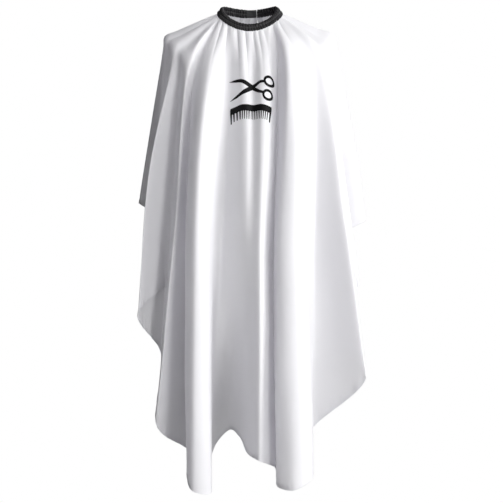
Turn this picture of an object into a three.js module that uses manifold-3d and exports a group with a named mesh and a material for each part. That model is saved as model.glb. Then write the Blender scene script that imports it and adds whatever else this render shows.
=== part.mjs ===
// Barber cape: one cut of light cloth gathered into an elastic neckband that snaps shut at the back.
// Millimetres, +Z up, the wearer faces -Y, and the origin is the middle of the neck opening.
import * as THREE from 'three';
import { mergeVertices } from 'three/addons/utils/BufferGeometryUtils.js';
import Module from 'manifold-3d';

// ---- driving dimensions ----------------------------------------------------

// the flat cut of the cloth, measured from the middle of the neck hole
const CUT_HALF_WIDTH = 700;
const CUT_FRONT = 1140;
const CUT_BACK = 450;
const CUT_CORNER_RADIUS = 250;
const NECK_CUT_RADIUS = 105;
const CLOTH_THICKNESS = 0.5;

// the neckband, gathered on its elastic
const BAND_HALF_X = 72;
const BAND_HALF_Y = 58;
const BAND_WIDTH = 22;
const BAND_THICKNESS = 5.5;
const BAND_WALL = 1.3;
const ELASTIC_WIDTH = 18;
const ELASTIC_THICKNESS = 1.6;

// the closure, as angles round the band from the front, positive towards +X
const CASING_ANGLES = [-174, 165.2];
const END_TAPE_ANGLES = [185.6, 167.5];
const STUD_TAPE_ANGLES = [163, 117];
const TAB_ANGLES = [183, 146];
const STUD_ANGLES = [153, 139.5, 126];

// a spring snap: a stud held by its post, and a socket held by its cap
const END_TAPE_THICKNESS = 2.4;
const TAPE_THICKNESS = 1.2;
const TAB_THICKNESS = 0.9;
const TAPE_WIDTH = 19;
const TAB_WIDTH = 18;
const SNAP_RADIUS = 5;
const POST_FLANGE_RADIUS = 3.2;
const POST_FLANGE = 0.5;
const STEM_RADIUS = 1.2;
const BORE_RADIUS = 1.5;
const HOLE_RADIUS = 1.7;
const STUD_FLANGE = 0.8;
const BORE_DEPTH = 1.6;
const NIPPLE_RADIUS = 1.7;
const NIPPLE_WAIST = 1.55;
const NIPPLE_HEIGHT = 1.8;
const SOCKET_MOUTH_RADIUS = 2.5;
const SOCKET_MOUTH_DEPTH = 1.85;
const SOCKET_HEIGHT = 2.8;
const CAP_RADIUS = 6;
const CAP_HEIGHT = 1.5;
const TURNED_SIDES = 24;

// the mark on the chest
const PRINT_ANGLES = [-19.5, 15];
const PRINT_SHARES = [0.115, 0.205];
const FILM_THICKNESS = 0.3;

const GAP = 0.3;

// ---- small tools -----------------------------------------------------------

const rad = THREE.MathUtils.degToRad;
const UP = new THREE.Vector3(0, 0, 1);

const group = new THREE.Group();

function addPart(name, geometry, color, roughness, metalness = 0) {
  const material = new THREE.MeshStandardMaterial({ color, roughness, metalness });
  const mesh = new THREE.Mesh(geometry, material);
  mesh.name = name;
  group.add(mesh);
  return mesh;
}

function geometryFrom(points, triangles) {
  const geometry = new THREE.BufferGeometry();
  geometry.setAttribute('position', new THREE.Float32BufferAttribute(points.flatMap((p) => [p.x, p.y, p.z]), 3));
  let volume = 0;
  for (const [a, b, c] of triangles) {
    volume += points[a].dot(new THREE.Vector3().crossVectors(points[b], points[c])) / 6;
  }
  const faces = volume < 0 ? triangles.map(([a, b, c]) => [a, c, b]) : triangles;
  geometry.setIndex(faces.flat());
  return geometry;
}

// A closed sheet: top(i, j) and bottom(i, j) are its two faces, joined round the rim.
function sheet(columns, rows, top, bottom) {
  const points = [];
  const triangles = [];
  const at = (side, i, j) => side * (columns + 1) * (rows + 1) + i * (rows + 1) + j;
  for (const face of [top, bottom]) {
    for (let i = 0; i <= columns; i++) {
      for (let j = 0; j <= rows; j++) points.push(face(i, j));
    }
  }
  const quad = (a, b, c, d) => triangles.push([a, b, c], [a, c, d]);
  for (let i = 0; i < columns; i++) {
    for (let j = 0; j < rows; j++) {
      quad(at(0, i, j), at(0, i + 1, j), at(0, i + 1, j + 1), at(0, i, j + 1));
      quad(at(1, i, j), at(1, i, j + 1), at(1, i + 1, j + 1), at(1, i + 1, j));
    }
  }
  for (let i = 0; i < columns; i++) {
    quad(at(0, i, 0), at(1, i, 0), at(1, i + 1, 0), at(0, i + 1, 0));
    quad(at(0, i, rows), at(0, i + 1, rows), at(1, i + 1, rows), at(1, i, rows));
  }
  for (let j = 0; j < rows; j++) {
    quad(at(0, 0, j), at(0, 0, j + 1), at(1, 0, j + 1), at(1, 0, j));
    quad(at(0, columns, j), at(1, columns, j), at(1, columns, j + 1), at(0, columns, j + 1));
  }
  return geometryFrom(points, triangles);
}

const wasm = await Module();
wasm.setup();

function toSolid(geometry) {
  const bare = geometry.clone();
  bare.deleteAttribute('normal');
  bare.deleteAttribute('uv');
  const merged = mergeVertices(bare, 1e-4);
  const vertProperties = new Float32Array(merged.attributes.position.array);
  const triVerts = new Uint32Array(merged.index.array);
  return new wasm.Manifold(new wasm.Mesh({ numProp: 3, vertProperties, triVerts }));
}

function fromSolid(solid) {
  const mesh = solid.getMesh();
  const geometry = new THREE.BufferGeometry();
  geometry.setAttribute('position', new THREE.BufferAttribute(new Float32Array(mesh.vertProperties), 3));
  geometry.setIndex(new THREE.BufferAttribute(new Uint32Array(mesh.triVerts), 1));
  return geometry;
}

// ---- the neckband's shape --------------------------------------------------

// Where the band's middle line runs, and which way its faces point, at an angle round the neck.
function bandFrame(degrees) {
  const a = rad(degrees);
  const middle = new THREE.Vector3(
    BAND_HALF_X * Math.sin(a),
    -BAND_HALF_Y * Math.cos(a),
    4.3 - 17.75 * Math.cos(a) - 11 * Math.cos(2 * a),
  );
  const lean = rad(30.25 + 13.5 * Math.cos(a) - 11.75 * Math.cos(2 * a));
  const level = new THREE.Vector3(Math.sin(a) / BAND_HALF_X, -Math.cos(a) / BAND_HALF_Y, 0).normalize();
  const face = level.clone().multiplyScalar(Math.cos(lean)).addScaledVector(UP, Math.sin(lean));
  const down = level.clone().multiplyScalar(Math.sin(lean)).addScaledVector(UP, -Math.cos(lean));
  return { middle, face, down };
}

// A point beside the band's middle line: out from its face, and down its width.
function besideBand(degrees, out, down) {
  const frame = bandFrame(degrees);
  return frame.middle.addScaledVector(frame.face, out).addScaledVector(frame.down, down);
}

// A strip that follows the band: its inner face stands off the middle line by standOff(angle).
function bandStrip(angles, width, thickness, standOff, steps) {
  const across = 2;
  const place = (i, j, out) => {
    const angle = THREE.MathUtils.lerp(...angles, i / steps);
    return besideBand(angle, standOff(angle) + out, width * (j / across - 0.5));
  };
  return sheet(steps, across, (i, j) => place(i, j, thickness), (i, j) => place(i, j, 0));
}

// The strip with a round hole through it at each angle.
function punched(strip, angles, standOff) {
  let solid = toSolid(strip);
  for (const angle of angles) {
    const drill = new THREE.CylinderGeometry(HOLE_RADIUS, HOLE_RADIUS, 6, TURNED_SIDES);
    const frame = bandFrame(angle);
    drill.applyQuaternion(new THREE.Quaternion().setFromUnitVectors(new THREE.Vector3(0, 1, 0), frame.face));
    drill.translate(...besideBand(angle, standOff(angle), 0));
    solid = solid.subtract(toSolid(drill));
  }
  return fromSolid(solid);
}

// The casing is a flat tube of cloth, open at both ends, with the elastic running through it.
function bandCasing() {
  const steps = 64;
  const corners = 12;
  const ring = (halfWidth, halfThickness) => {
    const outline = [];
    for (let k = 0; k < corners; k++) {
      const a = (2 * Math.PI * k) / corners;
      const bulge = (v) => Math.sign(v) * Math.abs(v) ** 0.6;
      outline.push([halfThickness * bulge(Math.cos(a)), halfWidth * bulge(Math.sin(a))]);
    }
    return outline;
  };
  const outer = ring(BAND_WIDTH / 2, BAND_THICKNESS / 2);
  const inner = ring(BAND_WIDTH / 2 - BAND_WALL, BAND_THICKNESS / 2 - BAND_WALL);
  const points = [];
  const triangles = [];
  for (let i = 0; i <= steps; i++) {
    const angle = THREE.MathUtils.lerp(...CASING_ANGLES, i / steps);
    for (const [out, down] of [...outer, ...inner]) points.push(besideBand(angle, out, down));
  }
  const at = (i, k, wall) => i * 2 * corners + wall * corners + (k % corners);
  const quad = (a, b, c, d) => triangles.push([a, b, c], [a, c, d]);
  for (let k = 0; k < corners; k++) {
    for (let i = 0; i < steps; i++) {
      quad(at(i, k, 0), at(i, k + 1, 0), at(i + 1, k + 1, 0), at(i + 1, k, 0));
      quad(at(i, k, 1), at(i + 1, k, 1), at(i + 1, k + 1, 1), at(i, k + 1, 1));
    }
    quad(at(0, k, 0), at(0, k, 1), at(0, k + 1, 1), at(0, k + 1, 0));
    quad(at(steps, k, 0), at(steps, k + 1, 0), at(steps, k + 1, 1), at(steps, k, 1));
  }
  return geometryFrom(points, triangles);
}

// ---- the draped cloth ------------------------------------------------------

// How far the cut edge is from the middle of the neck hole, in one direction of the flat cloth.
function cutReach(degrees) {
  const a = Math.abs(rad(degrees > 180 ? degrees - 360 : degrees < -180 ? degrees + 360 : degrees));
  const ahead = a < Math.PI / 2;
  const depth = ahead ? CUT_FRONT : CUT_BACK;
  const turn = ahead ? a : Math.PI - a;
  const cornerX = CUT_HALF_WIDTH - CUT_CORNER_RADIUS;
  const cornerY = depth - CUT_CORNER_RADIUS;
  if (turn > Math.atan2(CUT_HALF_WIDTH, cornerY)) return CUT_HALF_WIDTH / Math.sin(turn);
  if (turn < Math.atan2(cornerX, depth)) return depth / Math.cos(turn);
  const toCorner = Math.hypot(cornerX, cornerY);
  const off = turn - Math.atan2(cornerX, cornerY);
  return toCorner * Math.cos(off) + Math.sqrt(CUT_CORNER_RADIUS ** 2 - (toCorner * Math.sin(off)) ** 2);
}

// The folds, in order round the cloth. Each line of the cloth runs from the neckband over the shoulder or
// chest at `over`, past `past` where it is given, and down towards `hem`; its own length sets where it ends.
const FOLDS = [
  { angle: -194, over: [19, 110, -60], hem: [4, 166, -330] },
  { angle: -180, over: [-5, 102, -60], hem: [-18, 92, -330] },
  { angle: -166, over: [-30, 118, -60], hem: [-50, 206, -345] },
  { angle: -152, over: [-62, 100, -60], hem: [-74, 86, -380] },
  { angle: -138, over: [-105, 108, -60], hem: [-138, 206, -470] },
  { angle: -124, over: [-150, 76, -54], hem: [-156, 64, -550] },
  { angle: -112, over: [-178, 58, -52], hem: [-236, 176, -560] },
  { angle: -101, over: [-197, 28, -46], hem: [-190, 62, -510] },
  { angle: -90, over: [-206, 4, -43], hem: [-279, 160, -441] },
  { angle: -80, over: [-204, -20, -48], hem: [-196, 56, -520] },
  { angle: -71, over: [-200, -42, -56], hem: [-252, -34, -570] },
  { angle: -62, over: [-190, -60, -64], hem: [-180, -30, -640] },
  { angle: -53, over: [-176, -82, -74], past: [-238, -118, -360], hem: [-265, -142, -700] },
  { angle: -46.5, over: [-162, -92, -84], hem: [-214, -66, -795] },
  { angle: -39, over: [-138, -112, -98], hem: [-222, -170, -968] },
  { angle: -36, over: [-124, -106, -110], past: [-146, -106, -340], hem: [-150, -64, -1040] },
  { angle: -33, over: [-110, -130, -116], past: [-141, -162, -330], hem: [-151, -206, -1090] },
  { angle: -28.5, over: [-93, -144, -121], past: [-119, -186, -330], hem: [-134, -246, -1110] },
  { angle: -24, over: [-76, -138, -125], past: [-96, -172, -330], hem: [-96, -232, -1100] },
  { angle: -19.5, over: [-60, -118, -127], past: [-86, -134, -600], hem: [-91, -150, -1080] },
  { angle: -15.5, over: [-46, -116, -128], past: [-71, -112, -600], hem: [-96, -46, -1050] },
  { angle: -11.5, over: [-34, -122, -128], past: [-54, -122, -600], hem: [-78, 18, -1040] },
  { angle: -7.5, over: [-20, -130, -127], past: [-32, -144, -600], hem: [-50, 24, -1020] },
  { angle: -3.5, over: [-8, -130, -126], past: [-12, -162, -600], hem: [-24, -30, -1030] },
  { angle: 1, over: [6, -128, -125], past: [6, -176, -600], hem: [-6, -140, -1050] },
  { angle: 6, over: [26, -136, -123], past: [24, -190, -600], hem: [20, -214, -1050] },
  { angle: 10.5, over: [46, -130, -120], past: [40, -176, -600], hem: [44, -192, -1050] },
  { angle: 15, over: [65, -106, -118], past: [56, -124, -600], hem: [62, -110, -1040] },
  { angle: 19, over: [75, -124, -115], past: [61, -146, -560], hem: [62, -150, -1090] },
  { angle: 23, over: [85, -147, -112], past: [68, -190, -560], hem: [68, -238, -1130] },
  { angle: 27.5, over: [102, -146, -107], past: [98, -198, -560], hem: [102, -260, -1130] },
  { angle: 32, over: [116, -130, -101], past: [129, -184, -560], hem: [144, -236, -1110] },
  { angle: 35, over: [128, -114, -98], past: [145, -120, -600], hem: [148, -110, -1060] },
  { angle: 37.5, over: [136, -106, -94], past: [155, -96, -600], hem: [147, -50, -1010] },
  { angle: 43.5, over: [160, -96, -82], past: [226, -132, -480], hem: [278, -126, -845] },
  { angle: 50, over: [176, -80, -72], hem: [204, -26, -740] },
  { angle: 59, over: [188, -56, -62], hem: [268, -14, -650] },
  { angle: 70, over: [196, -32, -52], hem: [188, 40, -570] },
  { angle: 84, over: [203, -6, -42], past: [258, 14, -320], hem: [286, 48, -500] },
  { angle: 96, over: [203, 18, -42], hem: [266, 116, -500] },
  { angle: 107, over: [190, 44, -48], hem: [184, 74, -520] },
  { angle: 119, over: [168, 68, -52], hem: [238, 176, -560] },
  { angle: 132, over: [118, 92, -58], hem: [122, 82, -520] },
  { angle: 145, over: [78, 114, -60], hem: [104, 206, -410] },
  { angle: 156, over: [52, 102, -60], hem: [54, 92, -360] },
  { angle: 166, over: [32, 110, -60], hem: [46, 168, -335] },
];
const SHOULDER_ANGLE = 45;
const COLUMNS_PER_FOLD = 3;
const ROW_SHARES = [0, 0.035, 0.075, 0.115, 0.16, 0.205, 0.27, 0.35, 0.44, 0.53, 0.62, 0.72, 0.82, 0.91, 1];

// The neck edge is gathered unevenly: a direction of the cloth, and where that cloth lies round the band.
const GATHERED_TO = [
  [-194, -194], [-112, -112], [-90, -95], [-53, -79], [-36, -68], [-24, -50], [-7.5, -20], [1, 0],
  [6, 12], [10.5, 24], [15, 41], [27.5, 60], [43.5, 74], [84, 91], [107, 107], [166, 166],
];

function bandAngle(clothAngle) {
  const next = Math.max(1, GATHERED_TO.findIndex(([from]) => from >= clothAngle));
  const [fromA, toA] = GATHERED_TO[next - 1];
  const [fromB, toB] = GATHERED_TO[next];
  return THREE.MathUtils.mapLinear(clothAngle, fromA, fromB, toA, toB);
}

// The cloth's length from its seam on the band to the cut edge, along one fold line.
function lineLength(clothAngle) {
  const far = cutReach(clothAngle);
  const turn = rad(clothAngle);
  const start = rad(bandAngle(clothAngle));
  return Math.hypot(
    far * Math.sin(turn) - NECK_CUT_RADIUS * Math.sin(start),
    far * Math.cos(turn) - NECK_CUT_RADIUS * Math.cos(start),
  );
}

const vector = (list) => new THREE.Vector3(...list);

function foldCurve(fold) {
  const seam = besideBand(bandAngle(fold.angle), 0, BAND_WIDTH / 2 + GAP + 0.2);
  const over = vector(fold.over);
  const hem = vector(fold.hem);
  const past = fold.past ? vector(fold.past) : over.clone().lerp(hem, 0.45);
  const beyond = hem.clone().add(hem.clone().sub(past).multiplyScalar(0.5));
  // past SHOULDER_ANGLE the cloth goes straight to the shoulder, and bends sharply there
  const bend = [seam.clone().lerp(over, 0.75), over, over.clone().lerp(past, 0.15)];
  const shoulder = Math.abs(fold.angle) > SHOULDER_ANGLE ? bend : [over];
  const curve = new THREE.CatmullRomCurve3([seam, ...shoulder, past, hem, beyond], false, 'centripetal');
  curve.arcLengthDivisions = 400;
  return curve;
}

// The same share of every fold line's own length, from the seam to the hem.
function foldPoint(fold, curve, share) {
  const length = lineLength(fold.angle) * share;
  return curve.getPointAt(Math.min(1, length / curve.getLength()));
}

const curves = FOLDS.map(foldCurve);

const rowCurves = new Map();
function rowCurve(share) {
  if (!rowCurves.has(share)) {
    const points = FOLDS.map((fold, i) => foldPoint(fold, curves[i], share));
    rowCurves.set(share, new THREE.CatmullRomCurve3(points, false, 'centripetal'));
  }
  return rowCurves.get(share);
}

// A point of the draped cloth: column counts the fold lines, share runs from the seam to the hem.
const clothPoint = (column, share) => rowCurve(share).getPoint(column / (FOLDS.length - 1));

function clothNormal(column, share) {
  const last = FOLDS.length - 1;
  const step = 0.06;
  const rise = 0.01;
  const side = clothPoint(Math.min(last, column + step), share).sub(clothPoint(Math.max(0, column - step), share));
  const drop = clothPoint(column, Math.min(1, share + rise)).sub(clothPoint(column, Math.max(0, share - rise)));
  return drop.cross(side).normalize();
}

function clothSheet(firstColumn, lastColumn, firstRow, lastRow, innerFace, outerFace) {
  const place = (i, j, out) => {
    const column = (firstColumn + i) / COLUMNS_PER_FOLD;
    const share = ROW_SHARES[firstRow + j];
    return clothPoint(column, share).addScaledVector(clothNormal(column, share), out);
  };
  return sheet(
    lastColumn - firstColumn,
    lastRow - firstRow,
    (i, j) => place(i, j, outerFace),
    (i, j) => place(i, j, innerFace),
  );
}

const clothFace = CLOTH_THICKNESS / 2;
const allColumns = (FOLDS.length - 1) * COLUMNS_PER_FOLD;
const allRows = ROW_SHARES.length - 1;
const panel = clothSheet(0, allColumns, 0, allRows, -clothFace, clothFace);
addPart('cape_panel', panel, 0xf4f4f2, 0.55);

// The print is a film on the outer face, over whole columns and rows of the cloth.
const [printLeft, printRight] = PRINT_ANGLES.map((a) => COLUMNS_PER_FOLD * FOLDS.findIndex((f) => f.angle === a));
const [printTop, printBottom] = PRINT_SHARES.map((share) => ROW_SHARES.indexOf(share));
const filmFace = clothFace + GAP;
const film = clothSheet(printLeft, printRight, printTop, printBottom, filmFace, filmFace + FILM_THICKNESS);
addPart('chest_print', film, 0x141414, 0.5);

// ---- the neckband ----------------------------------------------------------

addPart('neckband_casing', bandCasing(), 0x17161a, 0.85);

const elasticAngles = CASING_ANGLES.map((angle) => angle - Math.sign(angle) * 0.5);
const elasticStandOff = () => -ELASTIC_THICKNESS / 2;
const elastic = bandStrip(elasticAngles, ELASTIC_WIDTH, ELASTIC_THICKNESS, elasticStandOff, 64);
addPart('neckband_elastic', elastic, 0x2a2a2c, 0.9);

// a plain folded tape finishes the left end of the casing
const endStandOff = () => -END_TAPE_THICKNESS / 2;
const endTape = bandStrip(END_TAPE_ANGLES, TAPE_WIDTH, END_TAPE_THICKNESS, endStandOff, 8);
addPart('end_tape', endTape, 0x141316, 0.7);

// ---- the closure -----------------------------------------------------------

// distances out from the band's middle line, one layer on the next
const postBase = BAND_THICKNESS / 2 + GAP;
const tapeFace = postBase + POST_FLANGE + 2 * GAP;
const studBase = tapeFace + TAPE_THICKNESS + GAP;
const socketBase = studBase + STUD_FLANGE + GAP;
const tabFace = socketBase + SOCKET_HEIGHT + GAP;
const capBase = tabFace + TAB_THICKNESS + GAP;

const studTapeStandOff = () => tapeFace;
const studTape = bandStrip(STUD_TAPE_ANGLES, TAPE_WIDTH, TAPE_THICKNESS, studTapeStandOff, 20);
addPart('stud_tape', punched(studTape, STUD_ANGLES, studTapeStandOff), 0x141316, 0.7);

// the tab is sewn flat on the end tape, and rises over the gap to lie on the snap
const TAB_FLAT_ANGLE = 177;
const TAB_RISEN_ANGLE = 161;
function tabStandOff(angle) {
  const rise = 1 - THREE.MathUtils.smoothstep(angle, TAB_RISEN_ANGLE, TAB_FLAT_ANGLE);
  return THREE.MathUtils.lerp(END_TAPE_THICKNESS / 2 + GAP, tabFace, rise);
}
const tab = bandStrip(TAB_ANGLES, TAB_WIDTH, TAB_THICKNESS, tabStandOff, 22);
addPart('closure_tab', punched(tab, STUD_ANGLES.slice(0, 1), tabStandOff), 0xf4f4f2, 0.6);

// A turned piece with its axis out from the band; heights count from its base.
function addTurned(name, outline, angle, base) {
  const points = outline.map(([radius, height]) => new THREE.Vector2(radius, height));
  const mesh = addPart(name, new THREE.LatheGeometry(points, TURNED_SIDES), 0xb9bbbe, 0.3, 1);
  mesh.position.copy(besideBand(angle, base, 0));
  mesh.quaternion.setFromUnitVectors(new THREE.Vector3(0, 1, 0), bandFrame(angle).face);
}

const postOutline = [
  [0, 0],
  [POST_FLANGE_RADIUS, 0],
  [POST_FLANGE_RADIUS, POST_FLANGE],
  [STEM_RADIUS, POST_FLANGE],
  [STEM_RADIUS, studBase - postBase + BORE_DEPTH - GAP],
  [0, studBase - postBase + BORE_DEPTH - GAP],
];
const studOutline = [
  [0, BORE_DEPTH],
  [BORE_RADIUS, BORE_DEPTH],
  [BORE_RADIUS, 0],
  [SNAP_RADIUS, 0],
  [SNAP_RADIUS, STUD_FLANGE * 0.6],
  [SNAP_RADIUS * 0.8, STUD_FLANGE],
  [NIPPLE_WAIST + 0.15, STUD_FLANGE],
  [NIPPLE_WAIST + 0.15, STUD_FLANGE + NIPPLE_HEIGHT * 0.4],
  [NIPPLE_RADIUS + 0.1, STUD_FLANGE + NIPPLE_HEIGHT * 0.7],
  [NIPPLE_RADIUS * 0.8, STUD_FLANGE + NIPPLE_HEIGHT],
  [0, STUD_FLANGE + NIPPLE_HEIGHT],
];
STUD_ANGLES.forEach((angle, i) => {
  addTurned(`snap_post_${i + 1}`, postOutline, angle, postBase);
  addTurned(`snap_stud_${i + 1}`, studOutline, angle, studBase);
});

const socketOutline = [
  [SOCKET_MOUTH_RADIUS, 0],
  [SNAP_RADIUS, 0],
  [SNAP_RADIUS, SOCKET_HEIGHT],
  [BORE_RADIUS, SOCKET_HEIGHT],
  [BORE_RADIUS, SOCKET_MOUTH_DEPTH],
  [SOCKET_MOUTH_RADIUS, SOCKET_MOUTH_DEPTH],
  [SOCKET_MOUTH_RADIUS, 0],
];
addTurned('snap_socket', socketOutline, STUD_ANGLES[0], socketBase);

// the cap's stem goes through the tab into the socket
const capStem = socketBase + SOCKET_MOUTH_DEPTH + GAP - capBase;
const capOutline = [
  [0, capStem],
  [STEM_RADIUS, capStem],
  [STEM_RADIUS, 0],
  [CAP_RADIUS, 0],
  [CAP_RADIUS, CAP_HEIGHT * 0.4],
  [CAP_RADIUS * 0.8, CAP_HEIGHT * 0.85],
  [CAP_RADIUS * 0.4, CAP_HEIGHT],
  [0, CAP_HEIGHT],
];
addTurned('snap_cap', capOutline, STUD_ANGLES[0], capBase);

export default group;
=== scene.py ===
import math
import random

import bmesh
import bpy
import numpy as np
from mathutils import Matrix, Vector
from mathutils.bvhtree import BVHTree
from mathutils.interpolate import poly_3d_calc


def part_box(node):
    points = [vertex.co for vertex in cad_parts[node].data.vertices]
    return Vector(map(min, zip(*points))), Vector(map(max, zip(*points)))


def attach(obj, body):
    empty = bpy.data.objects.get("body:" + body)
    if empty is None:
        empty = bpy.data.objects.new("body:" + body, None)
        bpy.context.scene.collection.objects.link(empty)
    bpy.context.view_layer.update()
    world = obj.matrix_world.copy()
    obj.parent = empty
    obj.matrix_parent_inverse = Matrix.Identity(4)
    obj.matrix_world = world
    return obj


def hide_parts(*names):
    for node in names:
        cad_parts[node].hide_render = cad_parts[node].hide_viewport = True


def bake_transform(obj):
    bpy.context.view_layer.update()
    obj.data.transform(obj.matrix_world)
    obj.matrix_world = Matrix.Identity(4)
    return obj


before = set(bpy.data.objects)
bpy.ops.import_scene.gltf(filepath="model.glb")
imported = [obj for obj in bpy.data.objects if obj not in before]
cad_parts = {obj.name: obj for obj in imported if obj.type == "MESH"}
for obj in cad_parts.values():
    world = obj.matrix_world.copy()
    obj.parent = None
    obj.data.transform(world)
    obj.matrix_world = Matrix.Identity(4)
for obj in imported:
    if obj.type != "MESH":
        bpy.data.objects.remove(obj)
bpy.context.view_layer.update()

scene = bpy.context.scene

# ---------------------------------------------------------------------------
# Studio: a pale floor under the hanging cape, and soft light that comes mostly
# from the wearer's left, so that the folds shade towards the other side.
# ---------------------------------------------------------------------------
low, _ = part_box("cape_panel")
middle = Vector((0.004, 0.0, -0.567))
camera_distance = 4.2
camera_rise = math.radians(6)
view_height = 1.232
FLOOR_GAP = 0.12

camera_data = bpy.data.cameras.new("camera")
camera_data.sensor_width = 36
camera_data.lens = 36 * camera_distance / view_height
camera = bpy.data.objects.new("camera", camera_data)
scene.collection.objects.link(camera)
toward = Vector((0, math.cos(camera_rise), -math.sin(camera_rise)))
camera.location = middle - toward * camera_distance
camera.rotation_euler = toward.to_track_quat("-Z", "Y").to_euler()
scene.camera = camera
scene.view_settings.view_transform = "Standard"

def soft_light(name, place, width, height, power, aim):
    """A rectangular light, in metres and watts, that faces the point it is aimed at."""
    light = bpy.data.lights.new(name, "AREA")
    light.shape = "RECTANGLE"
    light.size = width
    light.size_y = height
    light.energy = power
    lamp = bpy.data.objects.new(name, light)
    lamp.location = place
    lamp.rotation_euler = (Vector(aim) - Vector(place)).to_track_quat("-Z", "Y").to_euler()
    scene.collection.objects.link(lamp)

soft_light("side_light", (3.0, -1.6, 0.3), 1.2, 2.6, 114, (0, 0, -0.5))
soft_light("front_light", (2.3, -3.9, 0.8), 1.2, 2.4, 90, (0, 0, -0.5))
soft_light("back_light", (1.2, 3.4, 1.6), 2.4, 2.4, 40, (0, 0, -0.5))
soft_light("top_light", (0.5, -1.4, 2.9), 1.8, 1.8, 52, (0, 0, -0.3))

world = bpy.data.worlds.new("studio")
scene.world = world
world.use_nodes = True
wall = world.node_tree.nodes["Background"]
wall.inputs["Color"].default_value = (1, 1, 1, 1)
wall.inputs["Strength"].default_value = 0.07
seen = world.node_tree.nodes.new("ShaderNodeBackground")
seen.inputs["Color"].default_value = (1, 1, 1, 1)
either = world.node_tree.nodes.new("ShaderNodeMixShader")
rays = world.node_tree.nodes.new("ShaderNodeLightPath")
world_out = world.node_tree.nodes["World Output"]
world.node_tree.links.new(rays.outputs["Is Camera Ray"], either.inputs["Fac"])
world.node_tree.links.new(wall.outputs["Background"], either.inputs[1])
world.node_tree.links.new(seen.outputs["Background"], either.inputs[2])
world.node_tree.links.new(either.outputs["Shader"], world_out.inputs["Surface"])

def new_material(name, color, roughness):
    material = bpy.data.materials.new(name)
    material.use_nodes = True
    shader = material.node_tree.nodes["Principled BSDF"]
    shader.inputs["Base Color"].default_value = (*color, 1)
    shader.inputs["Roughness"].default_value = roughness
    return material, shader

floor_material, floor_shader = new_material("pale_floor", (0.6, 0.6, 0.6), 0.9)
floor_tree = floor_material.node_tree
floor_glow = floor_tree.nodes.new("ShaderNodeEmission")
floor_glow.inputs["Color"].default_value = (1, 1, 1, 1)
floor_mix = floor_tree.nodes.new("ShaderNodeMixShader")
floor_rays = floor_tree.nodes.new("ShaderNodeLightPath")
floor_tree.links.new(floor_rays.outputs["Is Camera Ray"], floor_mix.inputs["Fac"])
floor_tree.links.new(floor_shader.outputs["BSDF"], floor_mix.inputs[1])
floor_tree.links.new(floor_glow.outputs["Emission"], floor_mix.inputs[2])
floor_tree.links.new(floor_mix.outputs["Shader"], floor_tree.nodes["Material Output"].inputs["Surface"])
floor_mesh = bpy.data.meshes.new("floor")
floor_size = 30
floor_height = low.z - FLOOR_GAP
floor_mesh.from_pydata(
    [(x * floor_size, y * floor_size, floor_height) for x, y in ((-1, -1), (1, -1), (1, 1), (-1, 1))],
    [], [(0, 1, 2, 3)],
)
floor_mesh.materials.append(floor_material)
floor = bpy.data.objects.new("floor", floor_mesh)
scene.collection.objects.link(floor)

# ---------------------------------------------------------------------------
# The cut of the cloth: one piece 1.40 m wide and 1.59 m long with round
# corners, a neck hole nearer the back edge, and a slit from the hole to that
# edge so that it closes behind the neck.
# ---------------------------------------------------------------------------
CUT_HALF_WIDTH = 0.70
CUT_FRONT = 1.14
CUT_BACK = 0.45
CUT_CORNER = 0.25
NECK_CUT = 0.105

def cut_reach(degrees):
    """How far the cut edge is from the middle of the neck hole, in one direction."""
    a = math.radians(abs((degrees + 180) % 360 - 180))
    depth = CUT_FRONT if a < math.pi / 2 else CUT_BACK
    turn = a if a < math.pi / 2 else math.pi - a
    corner_x = CUT_HALF_WIDTH - CUT_CORNER
    corner_y = depth - CUT_CORNER
    if turn > math.atan2(CUT_HALF_WIDTH, corner_y):
        return CUT_HALF_WIDTH / math.sin(turn)
    if turn < math.atan2(corner_x, depth):
        return depth / math.cos(turn)
    to_corner = math.hypot(corner_x, corner_y)
    off = turn - math.atan2(corner_x, corner_y)
    return to_corner * math.cos(off) + math.sqrt(CUT_CORNER ** 2 - (to_corner * math.sin(off)) ** 2)

# ---------------------------------------------------------------------------
# The neckband's line: an oval that dips at the front and back and rises over
# the shoulders, with the band leaning outwards as it lies on the neck.
# ---------------------------------------------------------------------------
BAND_HALF_X = 0.072
BAND_HALF_Y = 0.058
BAND_WIDTH = 0.022

def band_frame(degrees):
    """The band's middle line at an angle, the way its face points, and down its width."""
    a = np.radians(degrees)
    middle_line = np.stack([
        BAND_HALF_X * np.sin(a),
        -BAND_HALF_Y * np.cos(a),
        0.0043 - 0.01775 * np.cos(a) - 0.011 * np.cos(2 * a),
    ], -1)
    lean = np.radians(30.25 + 13.5 * np.cos(a) - 11.75 * np.cos(2 * a))[..., None]
    level = np.stack([np.sin(a) / BAND_HALF_X, -np.cos(a) / BAND_HALF_Y, 0 * a], -1)
    level /= np.linalg.norm(level, axis=-1, keepdims=True)
    up = np.array([0, 0, 1.0])
    return middle_line, level * np.cos(lean) + up * np.sin(lean), level * np.sin(lean) - up * np.cos(lean)

def beside_band(degrees, out, down):
    line, face, along = band_frame(np.asarray(degrees, float))
    return line + face * np.asarray(out)[..., None] + along * np.asarray(down)[..., None]

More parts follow.
